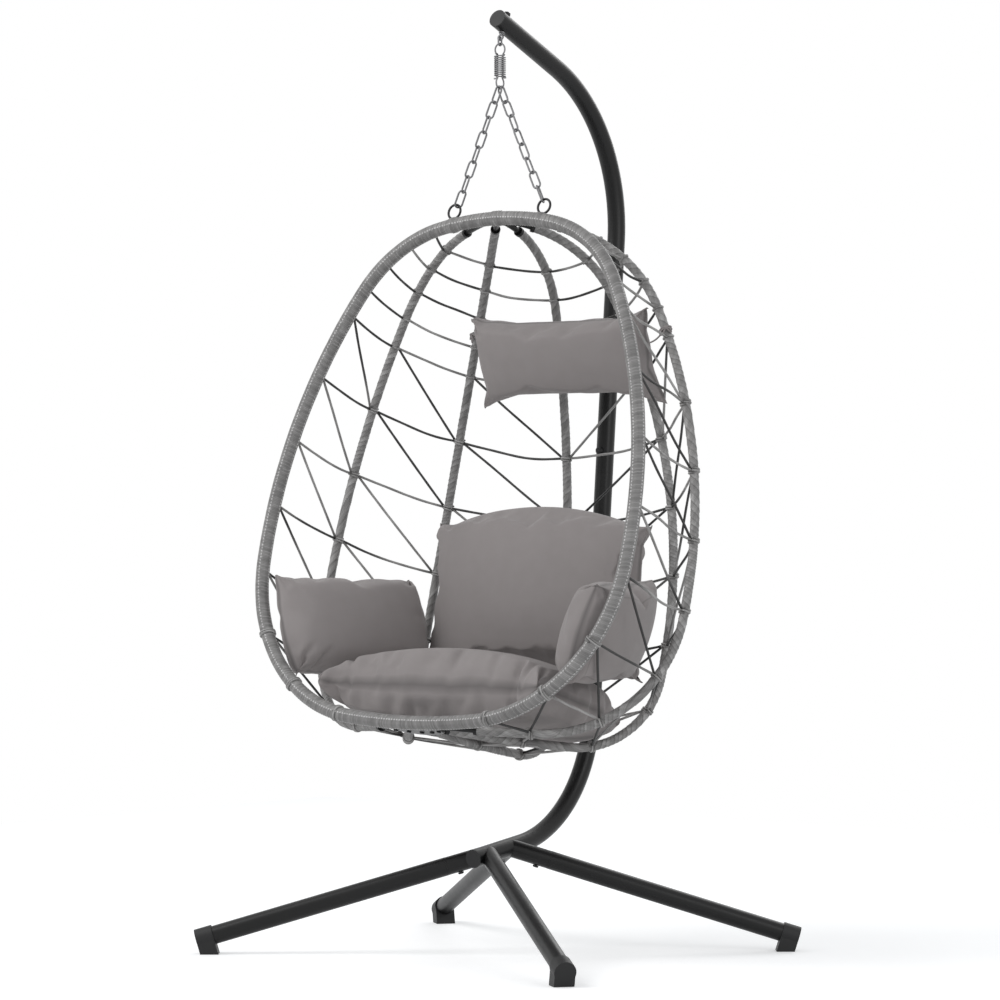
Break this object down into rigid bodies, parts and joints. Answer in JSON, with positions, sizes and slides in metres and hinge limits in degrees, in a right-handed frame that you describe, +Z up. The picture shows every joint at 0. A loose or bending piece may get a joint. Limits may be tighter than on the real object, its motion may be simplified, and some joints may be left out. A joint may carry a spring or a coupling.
{
  "type": "hanging egg chair",
  "caption": "Hanging egg chair: a wound hoop and ribs with a rope net and loose cushions, hung on chains and a drawbar spring from a curved tube stand.",
  "frame": {"origin": "centre of the footprint on the floor, under the hook", "axes": "+Z up, -Y the open front of the seat, +Y the upright pole behind it, +X to the right of someone who stands in front"},
  "size_m": [0.9752, 0.8498, 1.9427],
  "materials": {
    "stand_paint": "satin powder coat, charcoal",
    "frame_paint": "satin powder coat, near black",
    "cap_plastic": "fine matte",
    "zinc_steel": "dull zinc plating",
    "wicker": "round-strand synthetic wicker, warm grey with lighter flecks",
    "rope": "wound synthetic rope, warm grey",
    "cloth": "plain-woven polyester, warm grey"
  },
  "bodies": {
    "stand": {"lower_pole": "stand_paint", "upper_pole": "stand_paint", "pole_top_cap": "cap_plastic", "pole_bottom_cap": "cap_plastic", "joint_bolt": "stand_paint", "joint_nut": "zinc_steel", "leg_front_left": "stand_paint", "leg_front_right": "stand_paint", "leg_back_left": "stand_paint", "leg_back_right": "stand_paint", "foot_front_left": "cap_plastic", "foot_front_right": "cap_plastic", "foot_back_left": "cap_plastic", "foot_back_right": "cap_plastic", "leg_bolts": "stand_paint", "leg_nuts": "zinc_steel", "eye_bolt": "stand_paint", "eye_nut": "stand_paint"},
    "link": {"hook_link": "zinc_steel"},
    "spring_top": {"upper_drawbar": "zinc_steel", "spring_coil": "zinc_steel"},
    "spring_bottom": {"lower_drawbar": "zinc_steel"},
    "chains": {"chain_left": "zinc_steel", "chain_right": "zinc_steel"},
    "basket": {"hoop_tube": "frame_paint", "hoop_wrap": "wicker", "eyelet_left": "frame_paint", "eyelet_right": "frame_paint", "rib_outer_left": "frame_paint", "rib_inner_left": "frame_paint", "rib_centre": "frame_paint", "rib_inner_right": "frame_paint", "rib_outer_right": "frame_paint", "wrap_outer_left": "wicker", "wrap_inner_left": "wicker", "wrap_centre": "wicker", "wrap_inner_right": "wicker", "wrap_outer_right": "wicker", "rib_clips": "frame_paint", "rib_hubs": "frame_paint", "rib_screws": "frame_paint", "net_upper_1": "rope", "net_upper_2": "rope", "net_upper_3": "rope", "net_upper_4": "rope", "net_upper_5": "rope", "net_upper_6": "rope", "net_lower_1": "rope", "net_lower_2": "rope", "net_lower_3": "rope", "net_lower_4": "rope", "net_lower_5": "rope", "net_lower_6": "rope", "net_floor_left": "rope", "net_floor_right": "rope", "seat_cushion": "cloth", "back_cushion": "cloth", "arm_cushion_left": "cloth", "arm_cushion_right": "cloth", "head_pillow": "cloth"}
  },
  "joints": [
    {"name": "sway", "type": "hinge", "parent": "stand", "child": "link", "pos_m": [0, 0, 1.88618], "axis": [0, 1, 0], "range_deg": [-8, 8]},
    {"name": "swing", "type": "hinge", "parent": "link", "child": "spring_top", "pos_m": [0, 0, 1.87368], "axis": [1, 0, 0], "range_deg": [-12, 1]},
    {"name": "bounce", "type": "slide", "parent": "spring_top", "child": "spring_bottom", "axis": [0, 0, 1], "range_m": [-0.014, 0.002], "stiffness_N_per_m": 80000, "springref_m": 0.00368, "deforming": ["spring_coil"]},
    {"name": "swivel", "type": "hinge", "parent": "spring_bottom", "child": "chains", "pos_m": [0, 0, 1.78022], "axis": [0, 0, 1], "range_deg": [-12, 12]},
    {"name": "tilt", "type": "hinge", "parent": "chains", "child": "basket", "pos_m": [0, 0.00009, 1.54502], "axis": [1, 0, 0], "range_deg": [-3, 3]}
  ]
}
